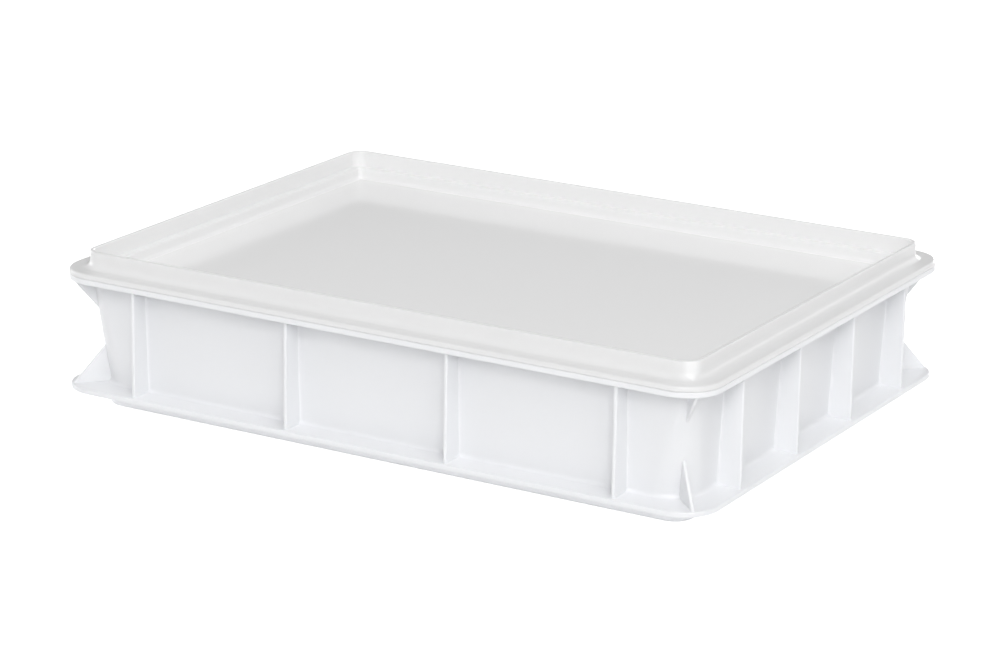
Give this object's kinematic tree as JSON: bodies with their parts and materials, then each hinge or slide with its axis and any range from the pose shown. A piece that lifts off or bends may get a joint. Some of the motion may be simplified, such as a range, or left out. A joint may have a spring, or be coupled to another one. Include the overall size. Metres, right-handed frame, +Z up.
{
  "type": "dough proofing box",
  "caption": "Shallow rectangular stacking box for proofing dough, with leaning walls, upright ribs, a base flange and a foot ring, and a lift-off lid with a raised collar.",
  "frame": {"origin": "middle of the foot ring, on the surface that the box stands on", "axes": "+X along the long sides, +Y along the short sides, +Z up"},
  "size_m": [0.4, 0.3, 0.0885],
  "materials": {
    "box_plastic": "moulded satin, cool white",
    "lid_plastic": "moulded semi-gloss, neutral white"
  },
  "bodies": {
    "box": {"proofing_box": "box_plastic"},
    "lid": {"lid": "lid_plastic"}
  },
  "joints": [
    {"name": "lid_lift", "type": "slide", "parent": "box", "child": "lid", "axis": [0, 0, 1], "range_m": [0, 0.1]}
  ]
}
